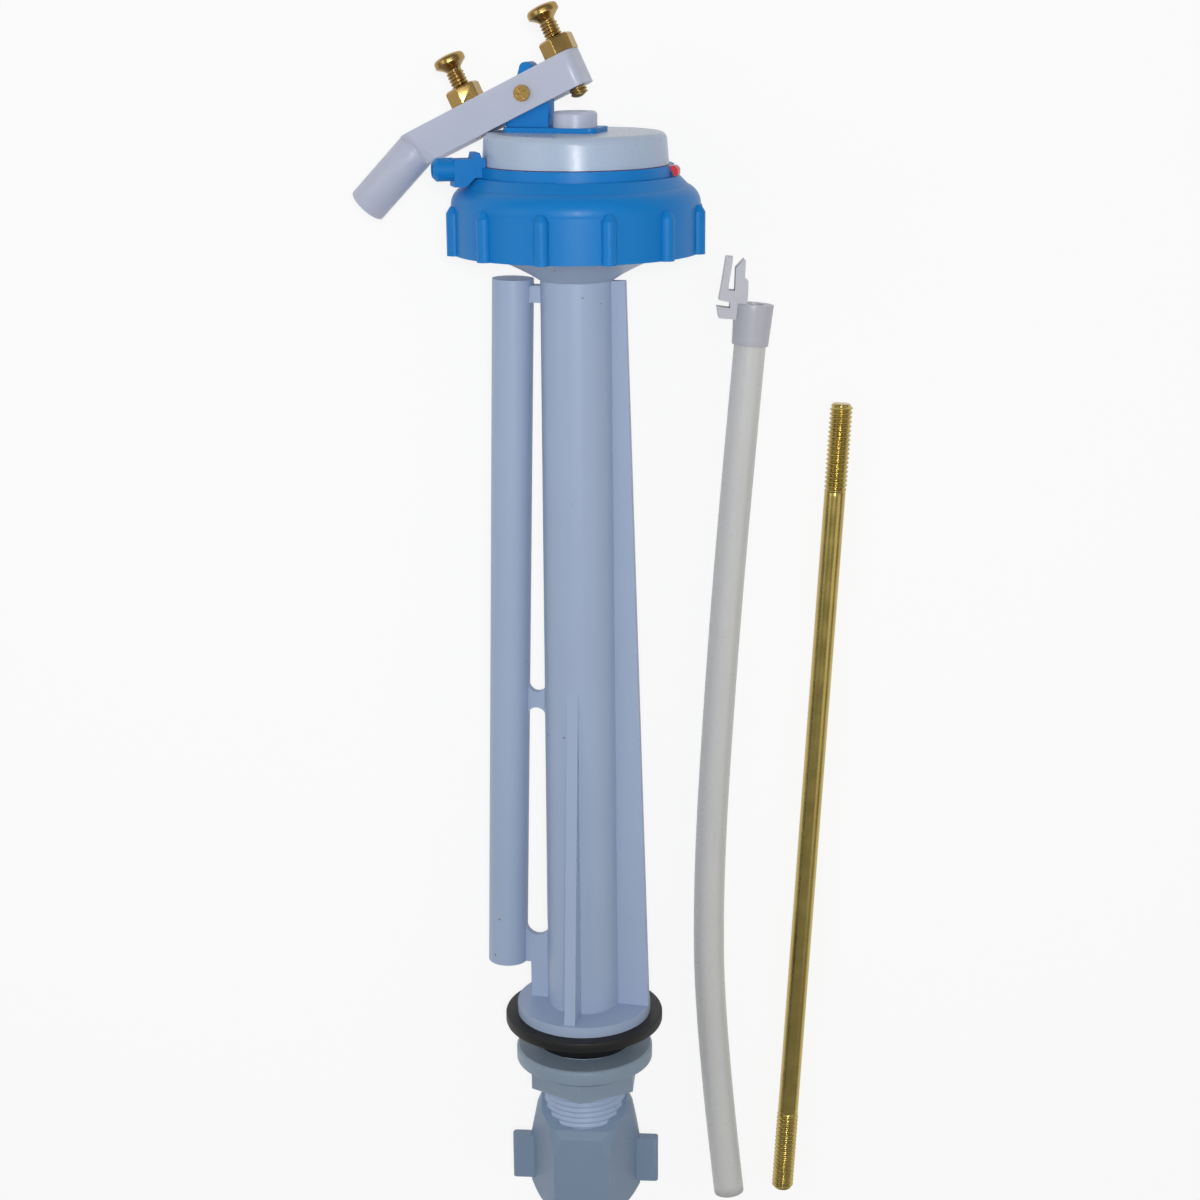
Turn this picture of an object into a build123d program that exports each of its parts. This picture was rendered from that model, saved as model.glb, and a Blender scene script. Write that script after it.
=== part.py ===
from build123d import *
from math import asin, atan, cos, degrees, pi, radians, sin, tan
import os

# An anti-siphon toilet fill valve, laid on a table beside its refill tube and float rod.
# The valve is drawn upright in millimetres, with z = 0 at the mouth of its coupling nut and
# the lever in the XZ plane. It is then laid down on its clamp ring and sealing washer.

# Fits
thread_clearance = 0.1
running_clearance = 0.05
seat_gap = 0.15
lip_gap = 0.2

# Coupling nut and its washer
coupling_front_height = 27.6
coupling_side_height = 34.8
coupling_corner_radius = 15.8
coupling_bulge_level = 30.2
coupling_bulge_radius = 13.8
coupling_rim_radius = 11.9
coupling_foot_radius = 12.2
coupling_foot_height = 5.0
coupling_shoulder = 20.0
coupling_floor = 4.0
coupling_inlet_radius = 8.0
wing_reach = 21.0
wing_level = 6.5
wing_height = 13.5
wing_thickness = 3.2
supply_washer_height = 9.7
supply_washer_bore = 7.0
coupling_turn = 8.5

# Threaded shank and its lock nut
shank_radius = 11.4
shank_length = 46.0
lock_nut_gap = 1.0
lock_nut_hex_height = 4.2
lock_nut_hex_radius = 16.6
lock_nut_flange_radius = 19.3
lock_nut_cone_height = 3.0
lock_nut_flange_thickness = 4.0
lock_nut_turn = 8.0

# Sealing washer and base flange
washer_radius = 22.2
washer_rim = 3.0
washer_cone_height = 6.3
washer_cone_radius = 16.0
washer_cone_tip_radius = 13.5
flange_radius = 18.8
flange_thickness = 3.0

# Riser, drawn with a moulder's draft
riser_foot_radius = 10.2
riser_top_radius = 9.5
riser_length = 204.0
riser_foot_bore = 8.2
riser_top_bore = 7.6
supply_bore_radius = 8.0
supply_bore_depth = 14.0
socket_depth = 12.0
web_thickness = 2.2
slot_bite = 0.2
fin_foot_reach = 18.8
fin_top_reach = 13.0
rib_foot_reach = 17.5
rib_height = 94.0
rib_thickness = 3.1
small_fin_reach = 15.1

# Hush tube beside the riser
hush_foot_offset = 22.1
hush_top_offset = 17.1
hush_foot_level = 73.5
hush_radius = 5.5
hush_bore_radius = 3.9
hush_cap_thickness = 1.6
duct_width = 4.4
duct_height = 4.4
duct_drop = 1.6
duct_bore_radius = 1.2
lower_web_height = 11.5
middle_web_level = 147.0
middle_web_height = 9.5

# Head cup on top of the riser
funnel_height = 8.0
cup_radius = 28.0
cup_wall = 2.2
cup_height = 10.4
gasket_thickness = 1.0

# Clamp ring
ring_wall = 3.8
ring_skirt = 11.0
ring_shoulder_drop = 3.0
ring_shoulder_height = 5.5
ring_slope_radius = 29.0
ring_lip_height = 5.0
grip_count = 12
grip_radius = 1.95
grip_drop = 0.7
grip_dome_height = 1.7
grip_dome_radius = 0.9

# Valve body
body_flange_thickness = 2.2
neck_radius = 25.3
neck_wall = 1.5
neck_height = 7.9
diaphragm_ledge = 2.4
boss_radius = 7.0
boss_length = 12.0
seat_outer_radius = 4.0
seat_bore_radius = 2.2
port_count = 6
port_radius = 2.2
port_circle = 13.0
spout_angle = 208.0
spout_reach = 37.3
spout_radius = 2.95
spout_chamfer = 1.0
spout_bore_radius = 1.4
spout_block_width = 6.0
spout_block_depth = 8.0
spout_block_rise = 2.6
spout_block_drop = 2.2
spout_hook_rise = 4.1

# Inlet tube and check flap
inlet_radius = 5.0
inlet_bore_radius = 3.8
flap_thickness = 1.0
flap_radius = 17.5

# Diaphragm
diaphragm_thickness = 1.5
diaphragm_boss_radius = 4.0
diaphragm_boss_rise = 0.6
ear_width = 3.4
ear_reach = 27.0
ear_thickness = 1.2

# Cap and plunger
cap_radius = 24.0
cap_draft = 0.5
cap_height = 8.0
cap_round = 2.0
cap_top_thickness = 3.9
cap_chamber_radius = 20.5
plunger_radius = 5.7
plunger_stand = 5.15
plunger_travel = 1.7
plunger_stem_radius = 2.5
plunger_foot_radius = 7.5
plunger_foot_thickness = 1.2
plunger_stop_gap = 0.6

# Pivot bracket
plate_thickness = 1.2
plate_left = 17.7
plate_right = 7.2
plate_width = 13.0
plate_round = 2.0
lug_right = 6.4
lug_thickness = 5.4
lug_tab_half = 3.2
lug_tip_half = 1.7
lug_top = 7.6
head_turn = -4.0

# Lever
pivot_offset = 12.3
pivot_rise = 9.8
pivot_radius = 1.5
lever_tilt = 25.7
lever_depth = 10.4
lever_height = 9.15
lever_right = 15.8
lever_bend = 34.8
socket_drop_angle = 20.0
socket_length = 20.2
socket_radius = 5.15
socket_blend = 5.0
socket_blend_radius = 2.6
socket_bore_radius = 3.0
socket_bore_depth = 16.0
window_left = 9.4
window_right = 8.9
lever_corner = 2.6
bend_corner = 4.0

# Brass screws in the lever
screw_radius = 2.3
plunger_screw_place = 12.2
level_screw_place = -16.0
plunger_screw_tip = 2.35
level_screw_tip = 0.15
screw_nut_radius = 4.7
screw_nut_height = 4.5
screw_nut_chamfer = 0.5
screw_neck = 4.5
screw_head_radius = 4.2
screw_flare = 1.8
screw_rim = 1.2
screw_dome = 1.2
pivot_head_radius = 2.1
pivot_head_height = 1.0
pivot_slot = 0.7
pivot_tail = 0.8

# Refill tube with its clip, and float rod
hose_diameter = 8.8
clip_collar_top_radius = 5.5
clip_collar_foot_radius = 5.0
clip_collar_height = 11.2
clip_stop = 1.6
clip_depth = 6.0
rod_length = 236.2
rod_radius = 2.95
rod_thread_radius = 3.15
rod_thread_length = 25.0
rod_foot_x = 58.6
rod_foot_y = -6.0
rod_lean = 3.4

# The valve lies rolled a little on the table, seen from its cap
roll = 13.0


# Levels up the valve, from the coupling nut's mouth
seat_level = coupling_floor + seat_gap + supply_washer_height + seat_gap + shank_length
flange_top = seat_level + flange_thickness
washer_low = seat_level - washer_rim
lock_nut_top = washer_low - washer_cone_height - lock_nut_gap
lock_nut_rim_foot = lock_nut_top - lock_nut_flange_thickness
lock_nut_cone_foot = lock_nut_rim_foot - lock_nut_cone_height
lock_nut_level = lock_nut_cone_foot - lock_nut_hex_height
shank_end = seat_level - shank_length
riser_top = flange_top + riser_length
cup_foot = riser_top + funnel_height
cup_top = cup_foot + cup_height
body_floor = cup_top + gasket_thickness
body_flange_top = body_floor + body_flange_thickness
neck_top = body_flange_top + neck_height
ledge_level = neck_top - diaphragm_thickness
diaphragm_top = neck_top
cap_foot = neck_top + seat_gap
cap_top = cap_foot + cap_height
chamber_top = cap_top - cap_top_thickness
plunger_top = cap_top + plunger_stand
pivot_z = cap_top + pivot_rise
ring_bore_radius = cup_radius + thread_clearance + lip_gap
ring_radius = ring_bore_radius + ring_wall
ring_lip_foot = body_flange_top + lip_gap
ring_low = cup_top - ring_skirt
ring_shoulder_foot = ring_lip_foot - ring_shoulder_drop
neck_clear_radius = neck_radius + lip_gap
inlet_foot = shank_end + supply_bore_depth
inlet_top = body_floor - seat_gap


def riser_radius_at(level):
    rise = (level - flange_top) / riser_length
    return riser_foot_radius + (riser_top_radius - riser_foot_radius) * rise


# How the valve lies: the table touches the lower corner of the sealing washer and the two
# lowest grips of the clamp ring, so the cap end stands a little higher than the shank end
grip_circle = ring_radius
ring_contact = grip_circle * cos(pi / grip_count) + grip_radius
table_tilt = atan((ring_contact - washer_radius) / (ring_low - washer_low))
table_level = -(washer_radius - washer_low * tan(table_tilt)) * cos(table_tilt)
valve_axis = Vector(0, cos(table_tilt), sin(table_tilt))
valve_front = Vector(0, -sin(table_tilt), cos(table_tilt))
valve_side = Vector(1, 0, 0) * cos(radians(roll)) + valve_front * sin(radians(roll))
valve_pose = Plane(origin=(0, 0, 0), x_dir=valve_side, z_dir=valve_axis).location

os.makedirs("parts", exist_ok=True)


def keep(piece, label):
    piece.label = label
    export_step(piece, f"parts/{label}.step")


def keep_on_valve(upright, label):
    keep(valve_pose * upright, label)


# The lever and its bracket are turned a little on the cap
head_pose = valve_pose * Rotation(0, 0, head_turn)


def keep_on_head(upright, label):
    keep(head_pose * upright, label)


# Coupling nut: a hexagon with two wings and a domed top, cut lower in front and behind
with BuildPart() as coupling_nut:
    with BuildSketch(Plane.XY):
        RegularPolygon(radius=coupling_corner_radius, side_count=6)
    extrude(amount=coupling_side_height)
    with BuildSketch(Plane.XZ):
        with BuildLine():
            Polyline(
                (0, 0),
                (coupling_foot_radius, 0),
                (coupling_corner_radius, coupling_foot_height),
                (coupling_corner_radius, coupling_shoulder),
                (coupling_bulge_radius, coupling_bulge_level),
                (coupling_rim_radius, coupling_side_height),
                (0, coupling_side_height),
                close=True,
            )
        make_face()
    revolve(axis=Axis.Z, mode=Mode.INTERSECT)
    with BuildSketch(Plane.YZ):
        Polygon(
            (-coupling_corner_radius, 0),
            (coupling_corner_radius, 0),
            (coupling_corner_radius, coupling_front_height - 4.5),
            (coupling_rim_radius, coupling_front_height),
            (0.8, coupling_side_height),
            (-0.8, coupling_side_height),
            (-coupling_rim_radius, coupling_front_height),
            (-coupling_corner_radius, coupling_front_height - 4.5),
            align=None,
        )
    extrude(amount=coupling_corner_radius, both=True, mode=Mode.INTERSECT)
    with BuildSketch(Plane.XY.offset(wing_level)):
        Rectangle(2 * wing_reach, wing_thickness)
    extrude(amount=wing_height)
    fillet(coupling_nut.edges().filter_by(Axis.Z).group_by(Axis.X)[0], radius=wing_thickness / 3)
    fillet(coupling_nut.edges().filter_by(Axis.Z).group_by(Axis.X)[-1], radius=wing_thickness / 3)
    with BuildSketch(Plane.XY):
        Circle(coupling_inlet_radius)
    extrude(amount=coupling_side_height, mode=Mode.SUBTRACT)
    with BuildSketch(Plane.XY.offset(coupling_floor)):
        Circle(shank_radius + thread_clearance)
    extrude(amount=coupling_side_height, mode=Mode.SUBTRACT)
keep_on_valve(Rotation(0, 0, coupling_turn) * coupling_nut.part, "coupling_nut")

# Rubber washer between the coupling nut's floor and the end of the shank
with BuildPart() as supply_washer:
    with BuildSketch(Plane.XY.offset(coupling_floor + seat_gap)):
        Circle(shank_radius - seat_gap)
        Circle(supply_washer_bore, mode=Mode.SUBTRACT)
    extrude(amount=supply_washer_height)
    chamfer(supply_washer.faces().sort_by(Axis.Z)[0].edges().sort_by(SortBy.RADIUS)[-1], length=1.2)
keep_on_valve(supply_washer.part, "supply_washer")

# Lock nut: a hexagon that widens into a round flange
with BuildPart() as lock_nut:
    with BuildSketch(Plane.XY.offset(lock_nut_level)):
        RegularPolygon(radius=lock_nut_hex_radius, side_count=6, rotation=30)
    extrude(amount=lock_nut_hex_height + lock_nut_cone_height)
    with BuildSketch(Plane.XZ):
        Polygon(
            (0, lock_nut_cone_foot),
            (lock_nut_hex_radius * cos(pi / 6), lock_nut_cone_foot),
            (lock_nut_flange_radius, lock_nut_rim_foot),
            (lock_nut_flange_radius, lock_nut_top - 0.6),
            (lock_nut_flange_radius - 0.6, lock_nut_top),
            (0, lock_nut_top),
            align=None,
        )
    revolve(axis=Axis.Z)
    with BuildSketch(Plane.XY.offset(lock_nut_level)):
        Circle(shank_radius + thread_clearance)
    extrude(amount=lock_nut_top - lock_nut_level, mode=Mode.SUBTRACT)
keep_on_valve(Rotation(0, 0, lock_nut_turn) * lock_nut.part, "lock_nut")

# Rubber sealing washer, whose cone centres it in the tank's hole
with BuildPart() as sealing_washer:
    with BuildSketch(Plane.XZ):
        with BuildLine():
            Polyline(
                (shank_radius + thread_clearance, seat_level),
                (washer_radius, seat_level),
                (washer_radius, washer_low),
                (washer_cone_radius, washer_low),
                (washer_cone_tip_radius, washer_low - washer_cone_height),
                (shank_radius + thread_clearance, washer_low - washer_cone_height),
                close=True,
            )
        make_face()
    revolve(axis=Axis.Z)
keep_on_valve(sealing_washer.part, "sealing_washer")

# Riser: shank, flange, tapered tube, hush tube, webs, fins and head cup in one moulding
hush_lean = Vector(hush_foot_offset - hush_top_offset, 0, riser_top - hush_foot_level)
hush_foot = Plane(origin=(-hush_foot_offset, 0, hush_foot_level), x_dir=(0, 1, 0), z_dir=hush_lean)
hush_length = hush_lean.length


def hush_offset_at(level):
    rise = (level - hush_foot_level) / (riser_top - hush_foot_level)
    return hush_foot_offset + (hush_top_offset - hush_foot_offset) * rise


def slot_end(level):
    inner = riser_radius_at(level)
    outer = hush_offset_at(level) - hush_radius
    return -(inner + outer) / 2, (outer - inner) / 2 + slot_bite


duct_level = riser_top - duct_drop - duct_height / 2
bowl_foot = cup_foot + cup_wall
cup_inner_radius = cup_radius - cup_wall
web_span = hush_foot_offset - riser_foot_bore
web_middle = -(hush_foot_offset + riser_foot_bore) / 2

with BuildPart() as riser:
    with BuildSketch(Plane.XZ):
        with BuildLine():
            Polyline(
                (riser_top_radius, riser_top),
                (riser_foot_radius, flange_top),
                (flange_radius, flange_top),
                (flange_radius, seat_level),
                (shank_radius, seat_level),
                (shank_radius, shank_end),
                (0, shank_end),
                (0, cup_top),
                (cup_radius, cup_top),
                (cup_radius, cup_foot),
            )
            ThreePointArc(
                (cup_radius, cup_foot),
                (riser_top_radius + 0.36 * (cup_radius - riser_top_radius), riser_top + 0.47 * funnel_height),
                (riser_top_radius, riser_top),
            )
        make_face()
    revolve(axis=Axis.Z)
    # Hush tube and the flat-sided duct that feeds it from the head
    with BuildSketch(hush_foot):
        Circle(hush_radius)
    extrude(amount=hush_length)
    with BuildSketch(Plane.YZ.offset(-hush_offset_at(duct_level))):
        with Locations((0, duct_level)):
            Rectangle(duct_width, duct_height)
    extrude(amount=hush_offset_at(duct_level) - riser_top_bore)
    # Webs between the two tubes, with round ends to the slots
    with BuildSketch(Plane.XZ):
        with Locations((web_middle, hush_foot_level + lower_web_height / 2)):
            Rectangle(web_span, lower_web_height)
        with Locations((web_middle, middle_web_level + middle_web_height / 2)):
            Rectangle(web_span, middle_web_height)
        for level in (
            hush_foot_level + lower_web_height,
            middle_web_level,
            middle_web_level + middle_web_height,
        ):
            slot_x, slot_radius = slot_end(level)
            with Locations((slot_x, level)):
                Circle(slot_radius, mode=Mode.SUBTRACT)
    extrude(amount=web_thickness / 2, both=True)
    # Fin opposite the hush tube, a small one under the lower web, and a rib in front and behind
    with BuildSketch(Plane.XZ):
        Polygon(
            (riser_foot_bore, flange_top),
            (fin_foot_reach, flange_top),
            (fin_top_reach, riser_top),
            (riser_top_bore, riser_top),
            align=None,
        )
        Polygon(
            (-riser_foot_bore, flange_top),
            (-small_fin_reach, flange_top),
            (-small_fin_reach, hush_foot_level + 1.0),
            (-riser_foot_bore, hush_foot_level + 1.0),
            align=None,
        )
    extrude(amount=web_thickness / 2, both=True)
    with BuildSketch(Plane.YZ):
        Polygon(
            (-rib_foot_reach, flange_top),
            (rib_foot_reach, flange_top),
            (riser_radius_at(flange_top + rib_height), flange_top + rib_height),
            (-riser_radius_at(flange_top + rib_height), flange_top + rib_height),
            align=None,
        )
    extrude(amount=rib_thickness / 2, both=True)
    # Water ways: supply bore, inlet tube's socket, riser bore and cup
    with BuildSketch(Plane.XZ):
        with BuildLine():
            Polyline(
                (cup_inner_radius, bowl_foot),
                (cup_inner_radius, cup_top),
                (0, cup_top),
                (0, shank_end),
                (supply_bore_radius, shank_end),
                (supply_bore_radius, inlet_foot),
                (inlet_radius + running_clearance, inlet_foot),
                (inlet_radius + running_clearance, inlet_foot + socket_depth),
                (riser_foot_bore, inlet_foot + socket_depth),
                (riser_top_bore, riser_top),
            )
            ThreePointArc(
                (riser_top_bore, riser_top),
                (riser_top_bore + 0.3 * (cup_inner_radius - riser_top_bore), (riser_top + bowl_foot) / 2),
                (cup_inner_radius, bowl_foot),
            )
        make_face()
    revolve(axis=Axis.Z, mode=Mode.SUBTRACT)
    with BuildSketch(hush_foot):
        Circle(hush_bore_radius)
    extrude(amount=hush_length - hush_cap_thickness, mode=Mode.SUBTRACT)
    with BuildSketch(Plane.YZ.offset(-hush_offset_at(duct_level))):
        with Locations((0, duct_level)):
            Circle(duct_bore_radius)
    extrude(amount=hush_offset_at(duct_level), mode=Mode.SUBTRACT)
keep_on_valve(riser.part, "riser")

# Gasket between the cup and the valve body
with BuildPart() as cup_gasket:
    with BuildSketch(Plane.XY.offset(cup_top)):
        Circle(cup_radius)
        Circle(cup_inner_radius, mode=Mode.SUBTRACT)
    extrude(amount=gasket_thickness)
keep_on_valve(cup_gasket.part, "cup_gasket")

# Clamp ring with grips, which screws onto the cup and holds the valve body down
with BuildPart() as clamp_ring:
    with BuildSketch(Plane.XZ):
        with BuildLine():
            ThreePointArc(
                (ring_radius, ring_shoulder_foot),
                (ring_radius - 0.2 * (ring_radius - ring_slope_radius), ring_shoulder_foot + 0.6 * ring_shoulder_height),
                (ring_slope_radius, ring_shoulder_foot + ring_shoulder_height),
            )
            Polyline(
                (ring_slope_radius, ring_shoulder_foot + ring_shoulder_height),
                (neck_clear_radius + 1.0, ring_lip_foot + ring_lip_height),
                (neck_clear_radius, ring_lip_foot + ring_lip_height),
                (neck_clear_radius, ring_lip_foot),
                (ring_bore_radius, ring_lip_foot),
                (ring_bore_radius, ring_low),
                (ring_radius, ring_low),
                (ring_radius, ring_shoulder_foot),
            )
        make_face()
    revolve(axis=Axis.Z)
    with BuildSketch(Plane.XY.offset(ring_low)):
        with PolarLocations(grip_circle, grip_count, start_angle=180 / grip_count + roll):
            Circle(grip_radius)
    extrude(amount=ring_shoulder_foot - grip_drop - ring_low)
    with Locations((0, 0, ring_shoulder_foot - grip_drop + grip_dome_height / 2)):
        with PolarLocations(grip_circle, grip_count, start_angle=180 / grip_count + roll):
            Cone(grip_radius, grip_dome_radius, grip_dome_height)
    with BuildSketch(Plane.XY.offset(ring_low)):
        Circle(ring_bore_radius)
    extrude(amount=ring_lip_foot - ring_low, mode=Mode.SUBTRACT)
keep_on_valve(clamp_ring.part, "clamp_ring")

# Valve body: flange, neck, ledge for the diaphragm, inlet boss, seat, ports and refill spout
spout_direction = (cos(radians(spout_angle)), sin(radians(spout_angle)), 0)
spout_level = neck_top - 0.4
spout_plane = Plane(origin=(0, 0, spout_level), x_dir=(0, 0, 1), z_dir=spout_direction)
spout_section = Plane(origin=(0, 0, 0), x_dir=spout_direction, z_dir=Vector(*spout_direction).cross(Vector(0, 0, 1)))
block_foot = ring_lip_foot + ring_lip_height + lip_gap
block_inner = cap_radius + lip_gap
block_outer = block_inner + spout_block_depth

with BuildPart() as valve_body:
    with BuildSketch(Plane.XY.offset(body_floor)):
        Circle(cup_radius)
    extrude(amount=body_flange_thickness)
    with BuildSketch(Plane.XY.offset(body_flange_top)):
        Circle(neck_radius)
    extrude(amount=neck_height)
    with BuildSketch(Plane.XY.offset(body_flange_top)):
        Circle(neck_radius - neck_wall - diaphragm_ledge)
    extrude(amount=neck_height, mode=Mode.SUBTRACT)
    with BuildSketch(Plane.XY.offset(ledge_level)):
        Circle(neck_radius - neck_wall)
    extrude(amount=diaphragm_thickness, mode=Mode.SUBTRACT)
    with BuildSketch(Plane.XY.offset(body_floor - boss_length)):
        Circle(boss_radius)
    extrude(amount=boss_length)
    with BuildSketch(Plane.XY.offset(body_floor)):
        Circle(seat_outer_radius)
    extrude(amount=ledge_level - lip_gap - body_floor)
    with BuildSketch(Plane.XY.offset(body_floor - boss_length)):
        Circle(inlet_radius + running_clearance)
    extrude(amount=boss_length, mode=Mode.SUBTRACT)
    with BuildSketch(Plane.XY.offset(body_floor - boss_length)):
        Circle(seat_bore_radius)
    extrude(amount=boss_length + neck_top - body_floor, mode=Mode.SUBTRACT)
    with BuildSketch(Plane.XY.offset(body_floor)):
        with PolarLocations(port_circle, port_count):
            Circle(port_radius)
    extrude(amount=body_flange_thickness, mode=Mode.SUBTRACT)
    # Notch in the neck for the diaphragm's ear
    with BuildSketch(Plane.XY.offset(ledge_level)):
        with Locations((neck_radius, 0)):
            Rectangle(4 * neck_wall, ear_width + 2 * seat_gap)
    extrude(amount=diaphragm_thickness, mode=Mode.SUBTRACT)
    # Block with a hook beside the cap, and the refill spout on it
    with BuildSketch(spout_section):
        Polygon(
            (neck_radius - neck_wall, block_foot),
            (neck_clear_radius + 1.4, block_foot),
            (ring_slope_radius + 0.3, block_foot - spout_block_drop),
            (block_outer, block_foot - spout_block_drop),
            (block_outer, spout_level + spout_block_rise),
            (block_inner + 3.2, spout_level + spout_block_rise),
            (block_inner + 2.8, spout_level + spout_hook_rise),
            (block_inner + 1.4, spout_level + spout_hook_rise),
            (block_inner + 0.8, spout_level + spout_block_rise),
            (block_inner, spout_level + spout_block_rise),
            (block_inner, neck_top),
            (neck_radius - neck_wall, neck_top),
            align=None,
        )
    extrude(amount=spout_block_width / 2, both=True)
    with BuildSketch(spout_plane.offset(block_outer)):
        Circle(spout_radius)
    extrude(amount=spout_reach - block_outer)
    spout_end = valve_body.faces().sort_by(Axis((0, 0, 0), spout_direction))[-1]
    chamfer(spout_end.edges(), length=spout_chamfer)
    with BuildSketch(spout_plane.offset(block_outer)):
        Circle(spout_bore_radius)
    extrude(amount=spout_reach, mode=Mode.SUBTRACT)
keep_on_valve(valve_body.part, "valve_body")

# Inlet tube, which carries the supply up inside the riser to the seat
with BuildPart() as inlet_tube:
    with BuildSketch(Plane.XY.offset(inlet_foot)):
        Circle(inlet_radius)
        Circle(inlet_bore_radius, mode=Mode.SUBTRACT)
    extrude(amount=inlet_top - inlet_foot)
keep_on_valve(inlet_tube.part, "inlet_tube")

# Rubber check flap round the boss, under the ports, which breaks a siphon
with BuildPart() as check_flap:
    with BuildSketch(Plane.XY.offset(body_floor - seat_gap - flap_thickness)):
        Circle(flap_radius)
        Circle(boss_radius + running_clearance, mode=Mode.SUBTRACT)
    extrude(amount=flap_thickness)
keep_on_valve(check_flap.part, "check_flap")

# Diaphragm with its raised centre and the ear that shows beside the cap
with BuildPart() as diaphragm:
    with BuildSketch(Plane.XY.offset(ledge_level)):
        Circle(neck_radius - neck_wall - seat_gap)
    extrude(amount=diaphragm_thickness)
    with BuildSketch(Plane.XY.offset(diaphragm_top)):
        Circle(diaphragm_boss_radius)
    extrude(amount=diaphragm_boss_rise)
    with BuildSketch(Plane.XZ):
        Polygon(
            (neck_radius - 2 * neck_wall, ledge_level + seat_gap),
            (ear_reach - ear_thickness, ledge_level + seat_gap),
            (ear_reach - ear_thickness, block_foot),
            (ear_reach - 0.4, block_foot),
            (ear_reach, block_foot + 0.4),
            (ear_reach, diaphragm_top - 0.8),
            (ear_reach - 0.8, diaphragm_top),
            (neck_radius - 2 * neck_wall, diaphragm_top),
            align=None,
        )
    extrude(amount=ear_width / 2, both=True)
keep_on_valve(diaphragm.part, "diaphragm")

# Cap over the diaphragm, with the plunger's bore
with BuildPart() as cap:
    with BuildSketch(Plane.XZ):
        with BuildLine():
            Polyline(
                (cap_radius - cap_draft - cap_round, cap_top),
                (plunger_radius + running_clearance, cap_top),
                (plunger_radius + running_clearance, chamber_top),
                (cap_chamber_radius, chamber_top),
                (cap_chamber_radius, cap_foot),
                (cap_radius, cap_foot),
                (cap_radius - cap_draft, cap_top - cap_round),
            )
            RadiusArc(
                (cap_radius - cap_draft, cap_top - cap_round),
                (cap_radius - cap_draft - cap_round, cap_top),
                -cap_round,
            )
        make_face()
    revolve(axis=Axis.Z)
keep_on_valve(cap.part, "cap")

# Plunger: a button above the cap, and a foot under it that presses the diaphragm's centre
foot_top = chamber_top - plunger_stop_gap
foot_low = foot_top - plunger_foot_thickness
button_low = foot_top + plunger_foot_thickness + plunger_travel
with BuildPart() as plunger:
    with BuildSketch(Plane.XZ):
        Polygon(
            (0, foot_low),
            (plunger_foot_radius, foot_low),
            (plunger_foot_radius, foot_top),
            (plunger_stem_radius, foot_top),
            (plunger_stem_radius, button_low),
            (plunger_radius, button_low),
            (plunger_radius, plunger_top - 0.6),
            (plunger_radius - 0.6, plunger_top),
            (plunger_radius - 2.2, plunger_top),
            (plunger_radius - 2.6, plunger_top - 0.5),
            (0, plunger_top - 0.5),
            align=None,
        )
    revolve(axis=Axis.Z)
keep_on_valve(plunger.part, "plunger")

# Pivot bracket: a plate round the plunger and a lug that carries the lever
pivot_x = -pivot_offset
with BuildPart() as pivot_bracket:
    with BuildSketch(Plane.XY.offset(cap_top)):
        with Locations(((plate_right - plate_left) / 2, 0)):
            RectangleRounded(plate_left + plate_right, plate_width, plate_round)
        Circle(plunger_radius + lip_gap, mode=Mode.SUBTRACT)
    extrude(amount=plate_thickness)
    with BuildSketch(Plane.XZ):
        with BuildLine():
            Polyline(
                (pivot_x + lug_tip_half, pivot_z + lug_top - lug_tip_half),
                (pivot_x + lug_tab_half, pivot_z + 1.0),
                (-lug_right, pivot_z - 1.0),
                (-lug_right, cap_top),
                (-plate_left, cap_top),
                (-plate_left, pivot_z - 5.0),
                (pivot_x - lug_tab_half, pivot_z + 1.0),
                (pivot_x - lug_tip_half, pivot_z + lug_top - lug_tip_half),
            )
            ThreePointArc(
                (pivot_x - lug_tip_half, pivot_z + lug_top - lug_tip_half),
                (pivot_x, pivot_z + lug_top),
                (pivot_x + lug_tip_half, pivot_z + lug_top - lug_tip_half),
            )
        make_face()
        with Locations((pivot_x, pivot_z)):
            Circle(pivot_radius + running_clearance, mode=Mode.SUBTRACT)
    extrude(amount=lug_thickness / 2, both=True)
keep_on_head(pivot_bracket.part, "pivot_bracket")

# Lever: a bar with a window for the lug, holes for the screws and a socket for the float rod.
# Its plane has its origin at the pivot, x along the bar and y across it.
lever_along = Vector(cos(radians(lever_tilt)), 0, sin(radians(lever_tilt)))
lever_across = Vector(-sin(radians(lever_tilt)), 0, cos(radians(lever_tilt)))
lever_plane = Plane(origin=(pivot_x, 0, pivot_z), x_dir=lever_along, z_dir=(0, -1, 0))
lever_top = lever_height / 2
bend_point = lever_plane.origin - lever_along * lever_bend
socket_direction = (-lever_along).rotate(Axis.Y, -socket_drop_angle)
socket_plane = Plane(origin=bend_point, x_dir=(0, 1, 0), z_dir=socket_direction)
arm_across = lever_across.rotate(Axis.Y, -socket_drop_angle)
bend_slant = lever_top * tan(radians(socket_drop_angle))

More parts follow.
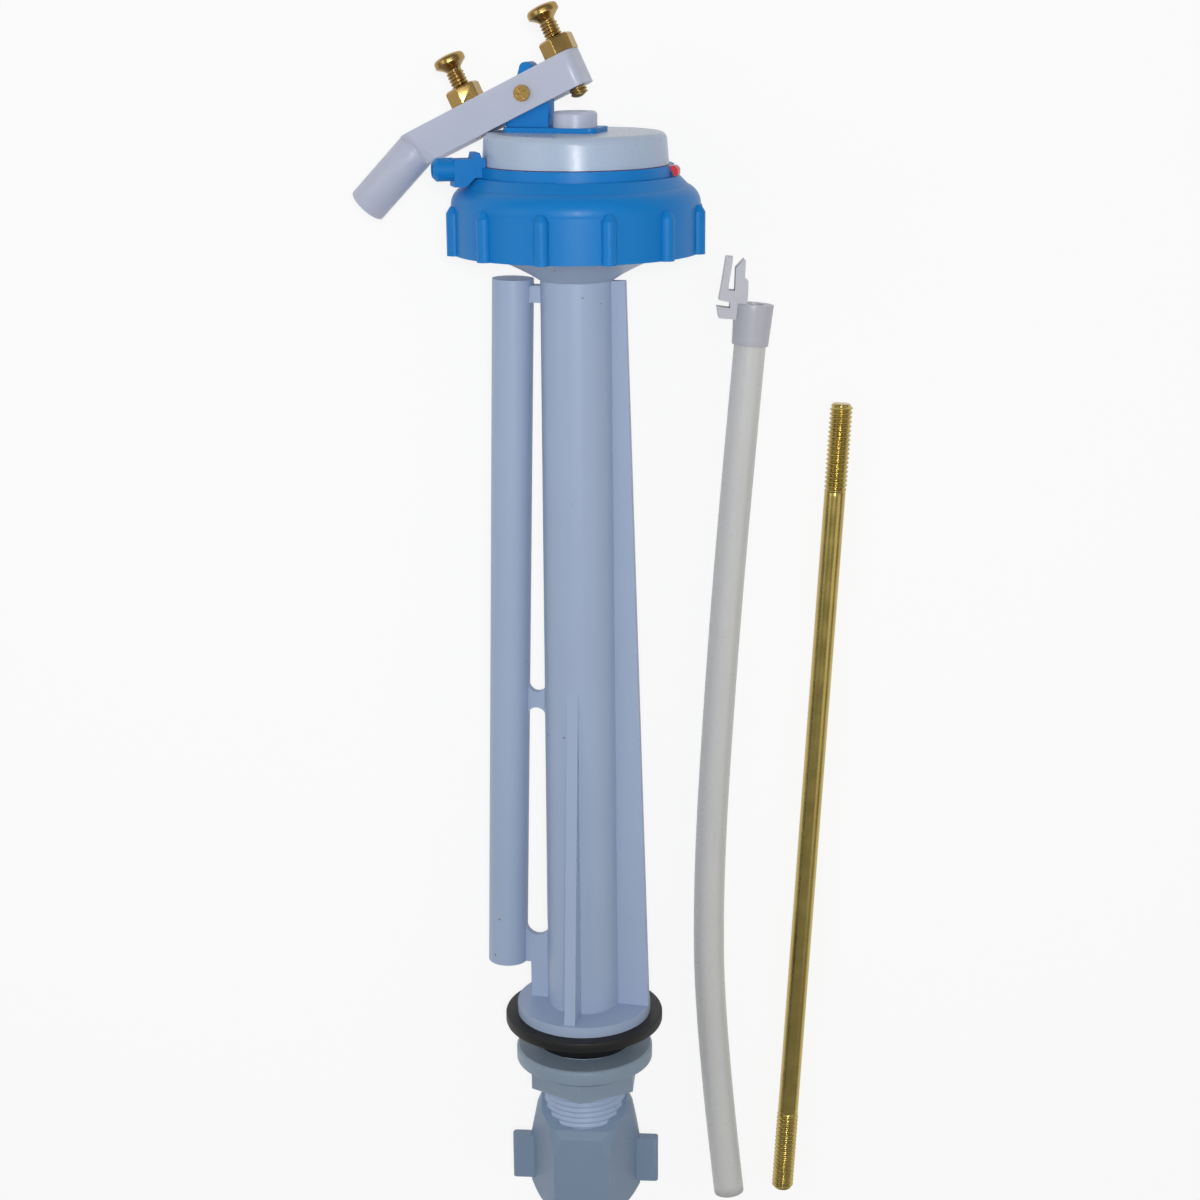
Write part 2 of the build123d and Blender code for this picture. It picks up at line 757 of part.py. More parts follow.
with BuildPart() as lever:
    with BuildSketch(lever_plane):
        Polygon(
            (-lever_bend + bend_slant, -lever_top),
            (lever_right, -lever_top),
            (lever_right, lever_top),
            (-lever_bend - bend_slant, lever_top),
            align=None,
        )
    extrude(amount=lever_depth / 2, both=True)
    fillet(lever.edges().filter_by(Axis(lever_plane.origin, lever_across)), radius=lever_corner)
    fillet(lever.edges().filter_by(Axis(bend_point, arm_across)), radius=bend_corner)
    with BuildSketch(socket_plane.offset(-socket_blend)):
        Circle(socket_blend_radius)
    with BuildSketch(socket_plane):
        Circle(socket_radius)
    loft()
    with BuildSketch(socket_plane):
        Circle(socket_radius)
    extrude(amount=socket_length)
    with BuildSketch(lever_plane):
        Polygon(
            (-window_left, -2 * lever_top),
            (window_right, -2 * lever_top),
            (window_right, 2 * lever_top),
            (-window_left, 2 * lever_top),
            align=None,
        )
    extrude(amount=lug_thickness / 2 + lip_gap, both=True, mode=Mode.SUBTRACT)
    for place in (plunger_screw_place, level_screw_place):
        with BuildSketch(Plane(origin=lever_plane.origin + lever_along * place, z_dir=lever_across)):
            Circle(screw_radius + running_clearance)
        extrude(amount=lever_height, both=True, mode=Mode.SUBTRACT)
    with BuildSketch(lever_plane):
        Circle(pivot_radius + running_clearance)
    extrude(amount=lever_depth, both=True, mode=Mode.SUBTRACT)
    with BuildSketch(socket_plane.offset(socket_length - socket_bore_depth)):
        Circle(socket_bore_radius)
    extrude(amount=socket_bore_depth, mode=Mode.SUBTRACT)
keep_on_head(lever.part, "lever")

# Pivot screw through the lever's cheeks and the lug, with a cross in its head
with BuildPart() as pivot_screw:
    with BuildSketch(lever_plane.offset(-lever_depth / 2 - pivot_tail)):
        Circle(pivot_radius)
    extrude(amount=lever_depth + pivot_tail)
    with BuildSketch(lever_plane.offset(lever_depth / 2)):
        Circle(pivot_head_radius)
    extrude(amount=pivot_head_height)
    with BuildSketch(lever_plane.offset(lever_depth / 2 + pivot_head_height / 2)):
        Rectangle(pivot_slot, 1.4 * pivot_head_radius)
        Rectangle(1.4 * pivot_head_radius, pivot_slot)
    extrude(amount=pivot_head_height / 2, mode=Mode.SUBTRACT)
keep_on_head(pivot_screw.part, "pivot_screw")


def thumb_screw_outline(place, tip):
    nut_top = lever_top + screw_nut_height
    neck_end = nut_top + screw_neck
    dome_foot = neck_end + screw_flare + screw_rim
    Polyline(
        (place, dome_foot + screw_dome),
        (place, -lever_top - tip),
        (place + screw_radius - 0.4, -lever_top - tip),
        (place + screw_radius, -lever_top - tip + 0.4),
        (place + screw_radius, neck_end),
        (place + screw_head_radius, neck_end + screw_flare),
        (place + screw_head_radius, dome_foot),
    )
    RadiusArc(
        (place + screw_head_radius, dome_foot),
        (place, dome_foot + screw_dome),
        -(screw_head_radius**2 + screw_dome**2) / (2 * screw_dome),
    )


# Thumb screw that presses the plunger
with BuildPart() as plunger_screw:
    with BuildSketch(lever_plane):
        with BuildLine():
            thumb_screw_outline(plunger_screw_place, plunger_screw_tip)
        make_face()
    revolve(axis=Axis(lever_plane.origin + lever_along * plunger_screw_place, lever_across))
keep_on_head(plunger_screw.part, "plunger_screw")

# Thumb screw over the float arm, which sets the water level
with BuildPart() as level_screw:
    with BuildSketch(lever_plane):
        with BuildLine():
            thumb_screw_outline(level_screw_place, level_screw_tip)
        make_face()
    revolve(axis=Axis(lever_plane.origin + lever_along * level_screw_place, lever_across))
keep_on_head(level_screw.part, "level_screw")


def nut_plane(place):
    foot = lever_plane.origin + lever_along * place + lever_across * lever_top
    return Plane(origin=foot, x_dir=lever_along, z_dir=lever_across)


# Hexagon nuts that lock the two thumb screws
for place, nut_label in ((plunger_screw_place, "plunger_screw_nut"), (level_screw_place, "level_screw_nut")):
    with BuildPart() as screw_nut:
        with BuildSketch(nut_plane(place)):
            RegularPolygon(radius=screw_nut_radius, side_count=6, rotation=30)
        extrude(amount=screw_nut_height)
        nut_axis = Axis(nut_plane(place).origin, lever_across)
        chamfer(screw_nut.faces().sort_by(nut_axis)[-1].edges(), length=screw_nut_chamfer)
        with BuildSketch(nut_plane(place)):
            Circle(screw_radius + running_clearance)
        extrude(amount=screw_nut_height, mode=Mode.SUBTRACT)
    keep_on_head(screw_nut.part, nut_label)

# Refill tube, lying on the table in one gentle bend
hose_level = table_level + hose_diameter / 2
hose_points = [
    (47.8, 256.0, table_level + clip_collar_top_radius),
    (43.4, 205.0, hose_level),
    (39.6, 155.0, hose_level),
    (36.0, 92.0, hose_level),
    (36.8, 45.0, hose_level),
    (42.6, -6.5, hose_level),
]


def corner_radius(before, corner, after):
    run_in = Vector(*corner) - Vector(*before)
    run_out = Vector(*after) - Vector(*corner)
    half_turn = radians(run_in.get_angle(run_out)) / 2
    return 0.45 * min(run_in.length, run_out.length) / tan(half_turn)


hose_radii = [corner_radius(*hose_points[place - 1:place + 2]) for place in range(1, len(hose_points) - 1)]
print("refill tube bends, mm:", [round(radius) for radius in hose_radii])
hose_start = Vector(*hose_points[0])
hose_direction = (hose_start - Vector(*hose_points[1])).normalized()

with BuildPart() as refill_tube:
    with BuildLine() as hose_path:
        FilletPolyline(*hose_points, radius=hose_radii)
    with BuildSketch(Plane(origin=hose_start, z_dir=-hose_direction)):
        Circle(hose_diameter / 2)
    sweep()
print("refill tube length, mm:", round(hose_path.wire().length, 1))
keep(refill_tube.part, "refill_tube")

# Clip on the refill tube: a collar, and a hooked fork that hangs on the overflow pipe.
# Its plane lies flat on the table, with y along the tube and its origin at the tube's end.
clip_plane = Plane(origin=hose_start, x_dir=hose_direction.cross(Vector(0, 0, 1)), z_dir=(0, 0, 1))
collar_plane = Plane(origin=hose_start, x_dir=clip_plane.x_dir, z_dir=hose_direction)
collar_foot = clip_stop - clip_collar_height
with BuildPart() as tube_clip:
    with BuildSketch(collar_plane.offset(collar_foot)):
        Circle(clip_collar_foot_radius)
    with BuildSketch(collar_plane.offset(clip_stop)):
        Circle(clip_collar_top_radius)
    loft()
    with BuildSketch(collar_plane.offset(collar_foot)):
        Circle(hose_diameter / 2 + running_clearance)
    extrude(amount=-collar_foot + seat_gap, mode=Mode.SUBTRACT)
    with BuildSketch(collar_plane.offset(seat_gap)):
        Circle(hose_diameter / 2 - clip_stop)
    extrude(amount=clip_stop, mode=Mode.SUBTRACT)
    with BuildSketch(clip_plane):
        # Neck beside the collar, the hook at its side, the bar above it, and the fork's two legs and stub
        Polygon((-6.3, -2.8), (-4.6, -2.8), (-4.6, 0.3), (-3.0, 0.3), (-3.0, 2.6), (-6.7, 2.6), align=None)
        Polygon((-9.3, -2.8), (-4.6, -2.8), (-4.6, 0.0), (-10.1, 0.3), align=None)
        Polygon((-9.7, 2.1), (-6.7, 1.7), (-2.0, 1.5), (-2.0, 4.9), (-9.4, 4.9), align=None)
        Polygon((-9.4, 4.8), (-7.5, 4.8), (-6.9, 13.9), (-8.7, 13.9), align=None)
        Polygon((-5.6, 4.8), (-3.1, 4.8), (-3.4, 13.2), (-3.9, 13.6), (-5.9, 11.0), align=None)
        Polygon((-3.3, 4.8), (-2.0, 4.8), (-2.2, 7.8), (-3.2, 8.5), align=None)
    extrude(amount=clip_depth / 2, both=True)
keep(tube_clip.part, "tube_clip")

# Float rod, lying on the table with a thread on each end
rod_direction = (sin(radians(rod_lean)), cos(radians(rod_lean)), 0)
rod_foot = Plane(origin=(rod_foot_x, rod_foot_y, table_level + rod_thread_radius), z_dir=rod_direction)
with BuildPart() as float_rod:
    with BuildSketch(rod_foot):
        Circle(rod_radius)
    extrude(amount=rod_length)
    for thread_start in (0, rod_length - rod_thread_length):
        with BuildSketch(rod_foot.offset(thread_start)):
            Circle(rod_thread_radius)
        extrude(amount=rod_thread_length)
    chamfer(float_rod.edges().filter_by(GeomType.CIRCLE).sort_by(Axis.Y)[0], length=0.5)
    chamfer(float_rod.edges().filter_by(GeomType.CIRCLE).sort_by(Axis.Y)[-1], length=0.5)
keep(float_rod.part, "float_rod")
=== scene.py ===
from math import atan, cos, pi, radians, sin, tan

import bmesh
import bpy
from mathutils import Matrix, Vector


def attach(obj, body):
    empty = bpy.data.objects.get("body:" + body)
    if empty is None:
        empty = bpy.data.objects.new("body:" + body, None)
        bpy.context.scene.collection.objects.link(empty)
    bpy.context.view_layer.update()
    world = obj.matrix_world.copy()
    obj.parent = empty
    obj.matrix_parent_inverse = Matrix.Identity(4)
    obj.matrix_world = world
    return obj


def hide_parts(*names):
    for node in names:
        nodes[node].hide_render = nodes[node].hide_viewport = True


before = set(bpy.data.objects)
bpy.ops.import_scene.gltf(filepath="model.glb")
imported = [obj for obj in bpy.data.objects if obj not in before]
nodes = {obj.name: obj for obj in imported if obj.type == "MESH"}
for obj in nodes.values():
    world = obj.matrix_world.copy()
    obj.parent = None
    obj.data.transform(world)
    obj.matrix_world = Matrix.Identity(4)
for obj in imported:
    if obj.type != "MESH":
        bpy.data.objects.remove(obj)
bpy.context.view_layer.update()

# Sizes and places on the valve are in millimetres, and mm turns them into Blender's metres
mm = 0.001

# How the valve lies: on two grips of its clamp ring and on the rim of its sealing washer
roll = radians(13.0)
ring_radius = 32.1
ring_low = 274.4
grip_count = 12
grip_radius = 1.95
washer_radius = 22.2
washer_low = 57.0
ring_contact = ring_radius * cos(pi / grip_count) + grip_radius
table_tilt = atan((ring_contact - washer_radius) / (ring_low - washer_low))
table_level = -(washer_radius - washer_low * tan(table_tilt)) * cos(table_tilt)
valve_axis = Vector((0, cos(table_tilt), sin(table_tilt)))
valve_front = Vector((0, -sin(table_tilt), cos(table_tilt)))
valve_side = Vector((1, 0, 0)) * cos(roll) + valve_front * sin(roll)
valve_back = valve_axis.cross(valve_side)

# Where the lever is on the upright valve
pivot_offset = 12.3
pivot_level = 314.45
lever_height = 9.15
lever_top = lever_height / 2
lever_tilt = radians(25.7)
head_turn = Matrix.Rotation(radians(-4.0), 3, "Z")
pivot = head_turn @ Vector((-pivot_offset, 0, pivot_level))
lever_along = head_turn @ Vector((cos(lever_tilt), 0, sin(lever_tilt)))
lever_across = head_turn @ Vector((-sin(lever_tilt), 0, cos(lever_tilt)))


def on_valve(point):
    """Lays a point of the upright valve on the table, in metres."""
    return (valve_side * point[0] + valve_back * point[1] + valve_axis * point[2]) * mm


def paint(red, green, blue):
    """A colour as it looks on screen, 0 to 255, in Blender's linear values, by the sRGB curve."""
    shares = [value / 255 for value in (red, green, blue)]
    linear = [share / 12.92 if share < 0.04045 else ((share + 0.055) / 1.055) ** 2.4 for share in shares]
    return (*linear, 1.0)


# Colours
riser_blue_grey = paint(162, 179, 206)
speck_brown = paint(120, 112, 110)
inlet_white = paint(218, 221, 226)
ring_blue = paint(12, 124, 200)
cap_white = paint(176, 192, 214)
lever_white = paint(190, 196, 214)
nut_grey = paint(136, 153, 170)
coupling_grey = paint(124, 144, 168)
washer_black = paint(7, 8, 8)
ear_red = paint(222, 40, 55)
brass_gold = paint(172, 142, 86)
brass_pale = paint(186, 165, 96)
hose_white = paint(212, 212, 210)
clip_grey = paint(190, 190, 198)
table_paint = paint(244, 244, 244)

# Grain of the surfaces: noise cells to a metre, and the height of the bumps in metres
flow_scale = 45
satin_scale = 900
speck_scale = 520
speck_threshold = 0.80
speck_edge = 0.02
dust_scale = 120
rubber_scale = 1400
tarnish_scale = 160
turning_scales = (600, 600, 600)
drawing_scales = (1400, 22, 1400)
grain_height = 0.0002

# How far the mottling takes a colour down and up, as a share of it
flow_tint = 0.035
dust_tint = 0.35
tarnish_tint = 0.2

# How far a surface's roughness strays, and how strong the bumps of rubber and brass are
satin_stray = 0.08
polish_stray = 0.06
tarnish_stray = 0.12
rubber_bumps = 0.15
brass_bumps = 0.12

# How far light gets into milky plastic, in metres, and how each colour fares there
milky_depth = 0.002
milky_colours = (1.0, 0.9, 0.9)


# Materials
def new_material(name):
    material = bpy.data.materials.new(name)
    material.use_nodes = True
    tree = material.node_tree
    return material, tree, tree.nodes["Principled BSDF"]


def noise(tree, scale, detail, stretch=None):
    made = tree.nodes.new("ShaderNodeTexNoise")
    made.inputs["Scale"].default_value = scale
    made.inputs["Detail"].default_value = detail
    place = tree.nodes.new("ShaderNodeTexCoord")
    if stretch is None:
        tree.links.new(place.outputs["Object"], made.inputs["Vector"])
        return made.outputs["Fac"]
    mapping = tree.nodes.new("ShaderNodeMapping")
    mapping.inputs["Scale"].default_value = stretch
    tree.links.new(place.outputs["Object"], mapping.inputs["Vector"])
    tree.links.new(mapping.outputs["Vector"], made.inputs["Vector"])
    return made.outputs["Fac"]


def spread(tree, source, low, high):
    made = tree.nodes.new("ShaderNodeMapRange")
    made.inputs["To Min"].default_value = low
    made.inputs["To Max"].default_value = high
    tree.links.new(source, made.inputs["Value"])
    return made.outputs["Result"]


def tinted(tree, colour, amount, source):
    """The colour, a little darker where the source is low and lighter where it is high."""
    mix = tree.nodes.new("ShaderNodeMix")
    mix.data_type = "RGBA"
    mix.inputs["A"].default_value = tuple(value * (1 - amount) for value in colour[:3]) + (1.0,)
    mix.inputs["B"].default_value = tuple(min(value * (1 + amount), 1.0) for value in colour[:3]) + (1.0,)
    tree.links.new(source, mix.inputs["Factor"])
    return mix.outputs["Result"]


def bump(tree, shader, source, strength):
    made = tree.nodes.new("ShaderNodeBump")
    made.inputs["Strength"].default_value = strength
    made.inputs["Distance"].default_value = grain_height
    tree.links.new(source, made.inputs["Height"])
    tree.links.new(made.outputs["Normal"], shader.inputs["Normal"])


def specks(tree, colour_socket, speck_colour):
    """Lays small specks over a colour, where a fine noise rises over its threshold."""
    cut = tree.nodes.new("ShaderNodeMapRange")
    cut.inputs["From Min"].default_value = speck_threshold
    cut.inputs["From Max"].default_value = speck_threshold + speck_edge
    tree.links.new(noise(tree, speck_scale, detail=1.0), cut.inputs["Value"])
    mix = tree.nodes.new("ShaderNodeMix")
    mix.data_type = "RGBA"
    mix.inputs["B"].default_value = speck_colour
    tree.links.new(cut.outputs["Result"], mix.inputs["Factor"])
    tree.links.new(colour_socket, mix.inputs["A"])
    return mix.outputs["Result"]


def moulded(name, colour, roughness, grain=0.08, milky=0.0, marks=None, shine=0.5):
    """Moulded plastic: flow mottling, a fine satin grain and a few specks where marks is given."""
    material, tree, shader = new_material(name)
    shader.inputs["Specular IOR Level"].default_value = shine
    colour_socket = tinted(tree, colour, flow_tint, noise(tree, flow_scale, detail=4.0))
    if marks is not None:
        colour_socket = specks(tree, colour_socket, marks)
    tree.links.new(colour_socket, shader.inputs["Base Color"])
    fine = noise(tree, satin_scale, detail=2.0)
    satin = spread(tree, fine, roughness - satin_stray, roughness + satin_stray)
    tree.links.new(satin, shader.inputs["Roughness"])
    bump(tree, shader, fine, grain)
    if milky:
        shader.inputs["Subsurface Weight"].default_value = milky
        shader.inputs["Subsurface Radius"].default_value = milky_colours
        shader.inputs["Subsurface Scale"].default_value = milky_depth
    return material


def rubber(name, colour, roughness):
    """Rubber with a little dust and a fine grain."""
    material, tree, shader = new_material(name)
    dust = noise(tree, dust_scale, detail=5.0)
    tree.links.new(tinted(tree, colour, dust_tint, dust), shader.inputs["Base Color"])
    shader.inputs["Roughness"].default_value = roughness
    bump(tree, shader, noise(tree, rubber_scale, detail=2.0), rubber_bumps)
    return material


def brass(name, colour, roughness, scales):
    """Brass with the marks of its turning or drawing, and a little tarnish."""
    material, tree, shader = new_material(name)
    shader.inputs["Metallic"].default_value = 1.0
    tarnish = noise(tree, tarnish_scale, detail=5.0)
    tree.links.new(tinted(tree, colour, tarnish_tint, tarnish), shader.inputs["Base Color"])
    sheen = spread(tree, tarnish, roughness - polish_stray, roughness + tarnish_stray)
    tree.links.new(sheen, shader.inputs["Roughness"])
    bump(tree, shader, noise(tree, 1.0, detail=3.0, stretch=scales), brass_bumps)
    return material


riser_plastic = moulded("riser_plastic", riser_blue_grey, 0.42, marks=speck_brown)
inlet_plastic = moulded("inlet_plastic", inlet_white, 0.40)
blue_plastic = moulded("blue_plastic", ring_blue, 0.40, shine=0.25)
cap_plastic = moulded("cap_plastic", cap_white, 0.30, milky=0.1, shine=0.35)
lever_plastic = moulded("lever_plastic", lever_white, 0.36, milky=0.35)
lock_plastic = moulded("lock_plastic", nut_grey, 0.42, milky=0.15)
coupling_plastic = moulded("coupling_plastic", coupling_grey, 0.46, grain=0.12)
black_rubber = rubber("black_rubber", washer_black, 0.55)
red_rubber = rubber("red_rubber", ear_red, 0.35)
screw_brass = brass("screw_brass", brass_gold, 0.24, turning_scales)
rod_brass = brass("rod_brass", brass_pale, 0.24, drawing_scales)
hose_vinyl = moulded("hose_vinyl", hose_white, 0.30, grain=0.04, milky=0.2)
clip_plastic = moulded("clip_plastic", clip_grey, 0.38)

finishes = {
    "riser": riser_plastic,
    "inlet_tube": inlet_plastic,
    "clamp_ring": blue_plastic,
    "valve_body": blue_plastic,
    "pivot_bracket": blue_plastic,
    "cap": cap_plastic,
    "lever": lever_plastic,
    "plunger": lever_plastic,
    "lock_nut": lock_plastic,
    "coupling_nut": coupling_plastic,
    "sealing_washer": black_rubber,
    "supply_washer": black_rubber,
    "cup_gasket": black_rubber,
    "check_flap": black_rubber,
    "diaphragm": red_rubber,
    "pivot_screw": screw_brass,
    "plunger_screw_nut": screw_brass,
    "level_screw_nut": screw_brass,
    "tube_clip": clip_plastic,
}
for node_name, finish in finishes.items():
    node_materials = nodes[node_name].data.materials
    node_materials.clear()
    node_materials.append(finish)


# Turned pieces with real threads, whose flanks run straight between a flat root and a flat crest
thread_steepness = 1.5
thread_root_flat = 0.2


def thread_share(level, angle, pitch):
    """How far a thread stands out at a place, from 0 at its root to 1 at its crest."""
    turn = (level / pitch - angle / (2 * pi)) % 1.0
    slope = 2 * abs(turn - 0.5)
    return min(max(thread_steepness * slope - thread_root_flat, 0.0), 1.0)


def steps(start, end, count):
    return [start + (end - start) * place / count for place in range(count + 1)]


def turned(name, foot, direction, levels, radius_at, material, body, columns, upright=True):
    """A closed solid of revolution, whose radius may also follow a thread round its axis."""
    axis = direction.normalized()
    first = axis.orthogonal().normalized()
    second = axis.cross(first)
    shape = bmesh.new()
    rings = []
    for level in levels:
        ring = []
        for column in range(columns):
            angle = 2 * pi * column / columns
            radius = radius_at(level, angle)
            point = foot + axis * level + (first * cos(angle) + second * sin(angle)) * radius
            ring.append(shape.verts.new(on_valve(point) if upright else point * mm))
        rings.append(ring)
    for lower, upper in zip(rings, rings[1:]):
        for column in range(columns):
            after = (column + 1) % columns
            shape.faces.new((lower[column], lower[after], upper[after], upper[column]))
    shape.faces.new(list(reversed(rings[0])))
    shape.faces.new(rings[-1])
    bmesh.ops.recalc_face_normals(shape, faces=shape.faces)
    for face in shape.faces:
        face.smooth = len(face.verts) == 4
    mesh = bpy.data.meshes.new(name)
    shape.to_mesh(mesh)
    shape.free()
    mesh.materials.append(material)
    piece = bpy.data.objects.new(name, mesh)
    bpy.context.scene.collection.objects.link(piece)
    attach(piece, body)
    return piece


# Thread on the shank, where it shows between the two nuts
shank_thread_low = 27.7
shank_thread_high = 38.4
shank_thread_length = shank_thread_high - shank_thread_low
shank_root = 11.42
shank_crest = 11.9
shank_pitch = 1.6
shank_runout = 1.0
shank_thread_steps = 96


def shank_thread_radius(level, angle):
    fade = min(1.0, level / shank_runout, (shank_thread_length - level) / shank_runout)
    depth = (shank_crest - shank_root) * max(fade, 0.0)
    return shank_root + depth * thread_share(level, angle, shank_pitch)


turned("shank_thread", Vector((0, 0, shank_thread_low)), Vector((0, 0, 1)),
       steps(0, shank_thread_length, shank_thread_steps), shank_thread_radius, riser_plastic,
       "root", columns=72)

# Brass thumb screws in the lever: a thread, a flare to a faceted head, and a dome
screw_root = 1.95
screw_crest = 2.3
screw_pitch = 0.9
screw_nut_height = 4.5
screw_neck = 4.5
screw_head_radius = 4.2
screw_flare = 1.8
screw_rim = 1.2
screw_dome = 1.2
screw_thread_stop = 0.4
last_thread_ring = 0.5
first_flare_ring = 0.35
tip_round = 0.8
tip_start = 0.25
facet_depth = 0.035
flare_curve = 1.3
dome_ease = 0.12
dome_drop = 0.55
edge_gap = 0.05
screw_thread_steps = 132
curve_steps = 8
rim_steps = 3
neck_end = lever_top + screw_nut_height + screw_neck
flare_end = neck_end + screw_flare
rim_end = flare_end + screw_rim


def thumb_screw(name, place, tip):
    foot_level = -lever_top - tip

    def radius_at(level, angle):
        height = foot_level + level
        if height < neck_end - screw_thread_stop:
            blunt_tip = min(1.0, (level + tip_start) / tip_round)
            thread = (screw_crest - screw_root) * thread_share(height, angle, screw_pitch)
            return (screw_root + thread) * blunt_tip
        rise = height - neck_end
        faceted = screw_head_radius * (1.0 - facet_depth * (1 - abs(cos(4 * angle))))
        if rise < screw_flare:
            share = max(rise, 0.0) / screw_flare
            return screw_root + (faceted - screw_root) * share ** flare_curve
        if rise < screw_flare + screw_rim:
            return faceted
        share = min((rise - screw_flare - screw_rim) / screw_dome, 1.0)
        return faceted * (1 - dome_ease * share - dome_drop * share ** 4)

    # The rings of the thread, the flare, the rim and the dome, with a gap at each edge between them
    rim_height = rim_end - foot_level
    levels = steps(0, neck_end - last_thread_ring - foot_level, screw_thread_steps)
    levels += steps(neck_end - first_flare_ring - foot_level, flare_end - edge_gap - foot_level, curve_steps)
    levels += steps(flare_end + edge_gap - foot_level, rim_height - edge_gap, rim_steps)
    levels += steps(rim_height + edge_gap, rim_height + screw_dome, curve_steps)
    foot = pivot + lever_along * place + lever_across * foot_level
    piece = turned(f"{name}_turned", foot, lever_across, levels, radius_at, screw_brass, name,
                   columns=40)
    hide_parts(name)


thumb_screw("plunger_screw", place=12.2, tip=2.35)
thumb_screw("level_screw", place=-16.0, tip=0.15)

# Float rod with a rolled thread on each end
rod_length = 236.2
rod_thread_length = 25.0
rod_radius = 2.95
rod_root = 2.62
rod_crest = 3.15
rod_pitch = 1.27
rod_end_round = 0.9
rod_end_drop = 0.25
rod_runout = 1.5
rod_thread_steps = 200
rod_plain_steps = 12
rod_plain_gap = 1
rod_lean = radians(3.4)
rod_foot = Vector((58.6, -6.0, table_level + rod_crest))
rod_direction = Vector((sin(rod_lean), cos(rod_lean), 0))


def rod_radius_at(level, angle):
    end = min(level, rod_length - level)
    if end > rod_thread_length:
        return rod_radius
    fade = min(1.0, end / rod_end_round)
    body_share = min(1.0, (rod_thread_length - end) / rod_runout)
    crest = (rod_crest - rod_root) * fade * thread_share(level, angle, rod_pitch)
    threaded = rod_root - rod_end_drop * (1 - fade) + crest
    return rod_radius + (threaded - rod_radius) * body_share


rod_levels = steps(0, rod_thread_length, rod_thread_steps)
rod_levels += steps(rod_thread_length + rod_plain_gap, rod_length - rod_thread_length - rod_plain_gap,
                    rod_plain_steps)
rod_levels += steps(rod_length - rod_thread_length, rod_length, rod_thread_steps)
float_rod_piece = turned("float_rod_threaded", rod_foot, rod_direction, rod_levels, rod_radius_at,
                         rod_brass, "root", columns=32, upright=False)
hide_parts("float_rod")

# Refill tube: a stiff vinyl hose that lies on the table from its clip, open at its cut end
hose_diameter = 8.8
hose_wall_thickness = 1.6
clip_collar_radius = 5.5
hose_level = table_level + hose_diameter / 2
hose_route = [
    (47.8, 256.0, table_level + clip_collar_radius),
    (43.4, 205.0, hose_level),
    (39.6, 155.0, hose_level),
    (36.0, 92.0, hose_level),
    (36.8, 45.0, hose_level),
    (42.6, -6.5, hose_level),
]


def smooth_route(name, points, radius):
    curve = bpy.data.curves.new(name, "CURVE")
    curve.dimensions = "3D"
    line = curve.splines.new("NURBS")
    line.points.add(len(points) - 1)
    for place, point in zip(line.points, points):
        place.co = (point[0] * mm, point[1] * mm, point[2] * mm, 1.0)
    line.order_u = 3
    line.use_endpoint_u = True
    line.resolution_u = 24
    curve.bevel_depth = radius * mm
    curve.bevel_resolution = 8
    curve.use_fill_caps = False
    piece = bpy.data.objects.new(name, curve)
    bpy.context.scene.collection.objects.link(piece)
    return piece


hose = smooth_route("refill_hose", hose_route, hose_diameter / 2)
hose.data.materials.append(hose_vinyl)
hose_wall = hose.modifiers.new("wall", "SOLIDIFY")
hose_wall.thickness = hose_wall_thickness * mm
hose_wall.offset = -1.0
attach(hose, "root")
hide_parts("refill_tube")

# Soft edges on the moulded pieces and the screws' nuts
weld_distance = 0.01
edge_angle = radians(35)
edge_widths = {
    "coupling_nut": 0.5,
    "lock_nut": 0.8,
    "lever": 0.5,
    "pivot_bracket": 0.35,
    "tube_clip": 0.3,
    "sealing_washer": 0.5,
    "plunger_screw_nut": 0.2,
    "level_screw_nut": 0.2,
}
for node_name, edge_width in edge_widths.items():
    weld = nodes[node_name].modifiers.new("weld", "WELD")
    weld.merge_threshold = weld_distance * mm
    edge = nodes[node_name].modifiers.new("edge", "BEVEL")
    edge.width = edge_width * mm
    edge.segments = 2
    edge.limit_method = "ANGLE"
    edge.angle_limit = edge_angle
    edge.harden_normals = False

# Stage, in metres: a white table, soft light all round and a lamp near the camera
valve_middle = (0.0, 0.16, 0.0)
table_size = 60.0
table_gap = 0.0001
table_glow = 0.84
sky_strength = 0.29


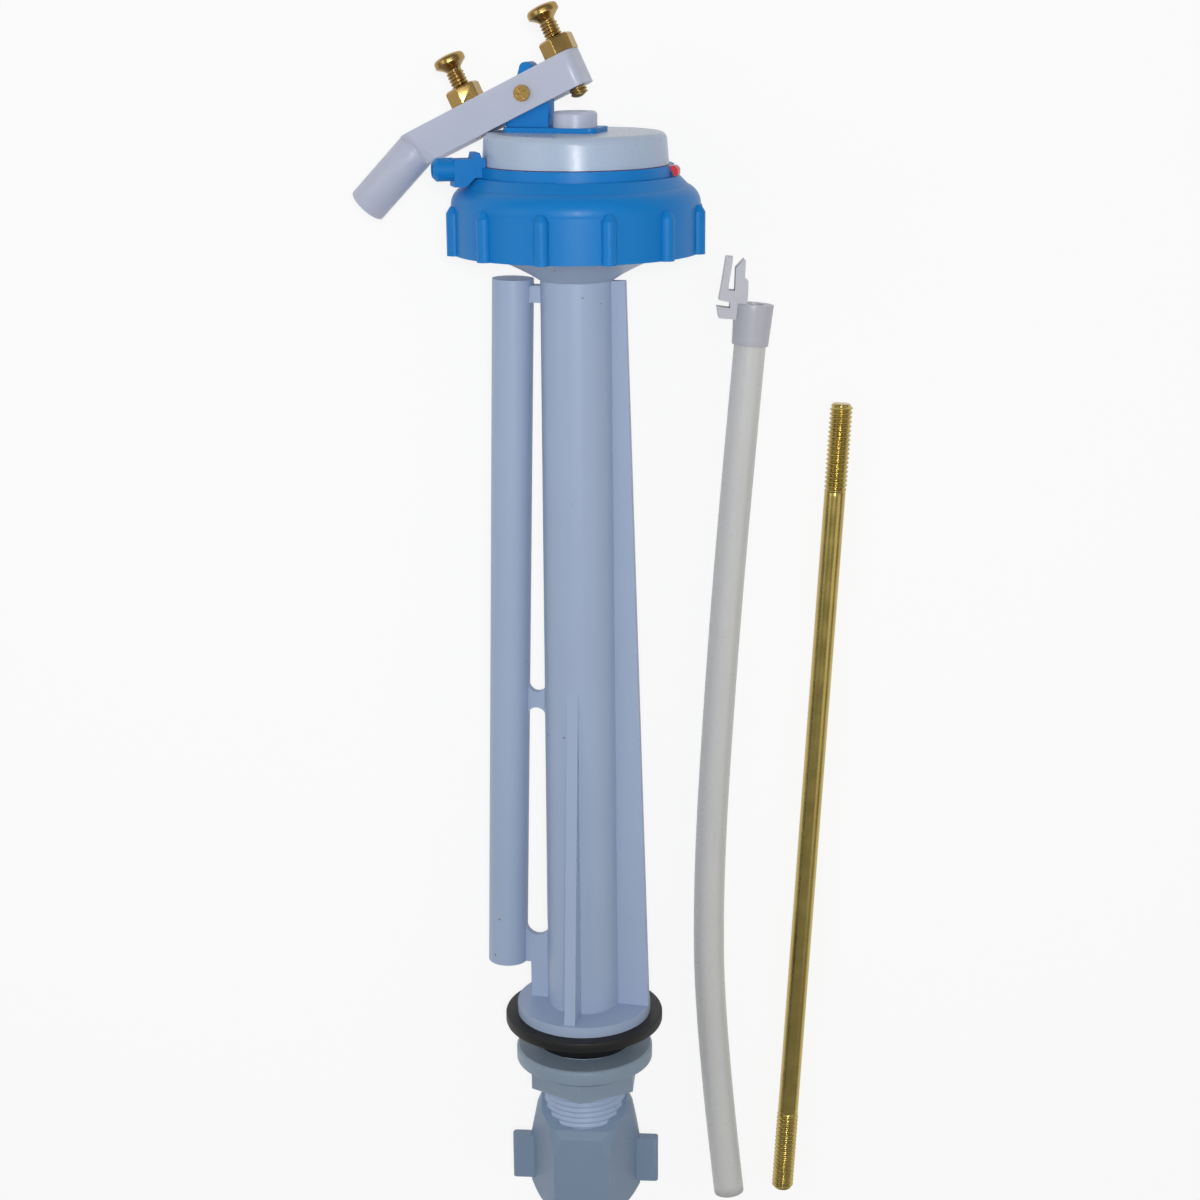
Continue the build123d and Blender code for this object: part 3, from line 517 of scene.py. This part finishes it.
def stage_material(name, colour, glow_share):
    """White that keeps the object's shadow but shows as paper white to the camera and in reflections."""
    material, tree, shader = new_material(name)
    shader.inputs["Base Color"].default_value = colour
    shader.inputs["Roughness"].default_value = 0.9
    shader.inputs["Specular IOR Level"].default_value = 0.1
    glow = tree.nodes.new("ShaderNodeEmission")
    glow.inputs["Color"].default_value = (1, 1, 1, 1)
    ray = tree.nodes.new("ShaderNodeLightPath")
    seen = ray.outputs["Is Camera Ray"]
    for kind in ("Is Glossy Ray", "Is Transmission Ray"):
        either = tree.nodes.new("ShaderNodeMath")
        either.operation = "MAXIMUM"
        tree.links.new(seen, either.inputs[0])
        tree.links.new(ray.outputs[kind], either.inputs[1])
        seen = either.outputs["Value"]
    share = tree.nodes.new("ShaderNodeMath")
    share.operation = "MULTIPLY"
    share.inputs[1].default_value = glow_share
    tree.links.new(seen, share.inputs[0])
    mix = tree.nodes.new("ShaderNodeMixShader")
    tree.links.new(share.outputs["Value"], mix.inputs["Fac"])
    tree.links.new(shader.outputs["BSDF"], mix.inputs[1])
    tree.links.new(glow.outputs["Emission"], mix.inputs[2])
    tree.links.new(mix.outputs["Shader"], tree.nodes["Material Output"].inputs["Surface"])
    return material


def lamp(name, place, size, power):
    """A round lamp that shines on the middle of the valve."""
    data = bpy.data.lights.new(name, "AREA")
    data.shape = "DISK"
    data.size = size
    data.energy = power
    light = bpy.data.objects.new(name, data)
    light.location = place
    aim = Vector(valve_middle) - Vector(place)
    light.rotation_euler = aim.to_track_quat("-Z", "Y").to_euler()
    bpy.context.scene.collection.objects.link(light)


table_place = (valve_middle[0], valve_middle[1], table_level * mm - table_gap)
bpy.ops.mesh.primitive_plane_add(size=table_size, location=table_place)
table = bpy.context.object
table.name = "table"
table.data.materials.append(stage_material("table_white", table_paint, table_glow))

world = bpy.data.worlds.new("studio")
bpy.context.scene.world = world
world.use_nodes = True
sky = world.node_tree.nodes["Background"]
sky.inputs["Color"].default_value = (1.0, 1.0, 1.0, 1.0)
sky.inputs["Strength"].default_value = sky_strength

lamp("flash", (0.02, 0.34, 0.72), size=0.10, power=2.5)
lamp("left_soft", (-0.75, 0.35, 0.55), size=0.6, power=1.3)
lamp("right_soft", (0.8, 0.0, 0.7), size=0.6, power=0.7)

# Camera at the photograph's angle, leaning a little as the photograph does
camera_place = Vector((5.4, 313.2, 595.1)) * mm
camera_direction = Vector((0, -0.221, -0.975)).normalized()
camera_lean = radians(0.45)
plain_right = Vector((1, 0, 0))
plain_up = plain_right.cross(camera_direction)
camera_right = plain_right * cos(camera_lean) - plain_up * sin(camera_lean)
camera_up = plain_up * cos(camera_lean) + plain_right * sin(camera_lean)
camera_turn = Matrix((camera_right, camera_up, -camera_direction)).transposed()
camera_data = bpy.data.cameras.new("camera")
camera_data.sensor_width = 36.0
camera_data.lens = 66.75
camera_data.clip_start = 0.01
camera = bpy.data.objects.new("camera", camera_data)
camera.matrix_world = Matrix.Translation(camera_place) @ camera_turn.to_4x4()
bpy.context.scene.collection.objects.link(camera)
bpy.context.scene.camera = camera
bpy.context.scene.view_settings.view_transform = "Standard"
